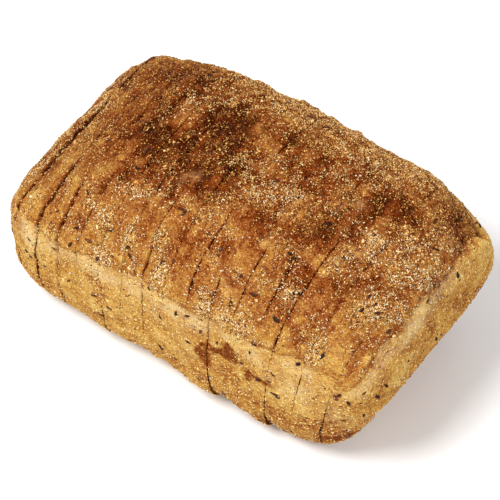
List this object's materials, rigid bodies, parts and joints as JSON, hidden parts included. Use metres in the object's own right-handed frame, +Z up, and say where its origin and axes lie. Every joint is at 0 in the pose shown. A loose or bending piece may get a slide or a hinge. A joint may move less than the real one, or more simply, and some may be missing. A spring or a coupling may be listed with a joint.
{
  "type": "sliced barley and linseed bread loaf",
  "caption": "Sliced tin loaf of barley and linseed bread, browned crown sprinkled with barley grits, standing whole with its slices together.",
  "frame": {"origin": "centre of the bottom of the loaf's bounding box, on the table it rests on", "axes": "+X along the loaf to the fuller end, the near end in the picture; +Y across it, away from the long side that shows; +Z up"},
  "size_m": [0.2101, 0.1282, 0.1152],
  "materials": {
    "crust_brown": "dry baked crust, brown on the crown and golden on the side",
    "crust_pale": "dry golden tan crust, finely grained",
    "crumb": "soft open crumb, matt",
    "barley_grit": "small hard grits, slightly glossy",
    "linseed": "dark brown seed coat, slightly glossy"
  },
  "bodies": {
    "root": {"heel_left": "crust_pale", "slice_01": "crust_brown", "slice_02": "crust_brown", "slice_03": "crust_brown", "slice_04": "crust_brown", "slice_05": "crust_brown", "slice_06": "crust_brown", "slice_07": "crust_brown", "slice_08": "crust_brown", "slice_09": "crust_brown", "slice_10": "crust_brown", "slice_11": "crust_brown", "slice_12": "crust_brown", "slice_13": "crust_brown", "slice_14": "crust_brown", "heel_right": "crust_pale"}
  },
  "joints": []
}
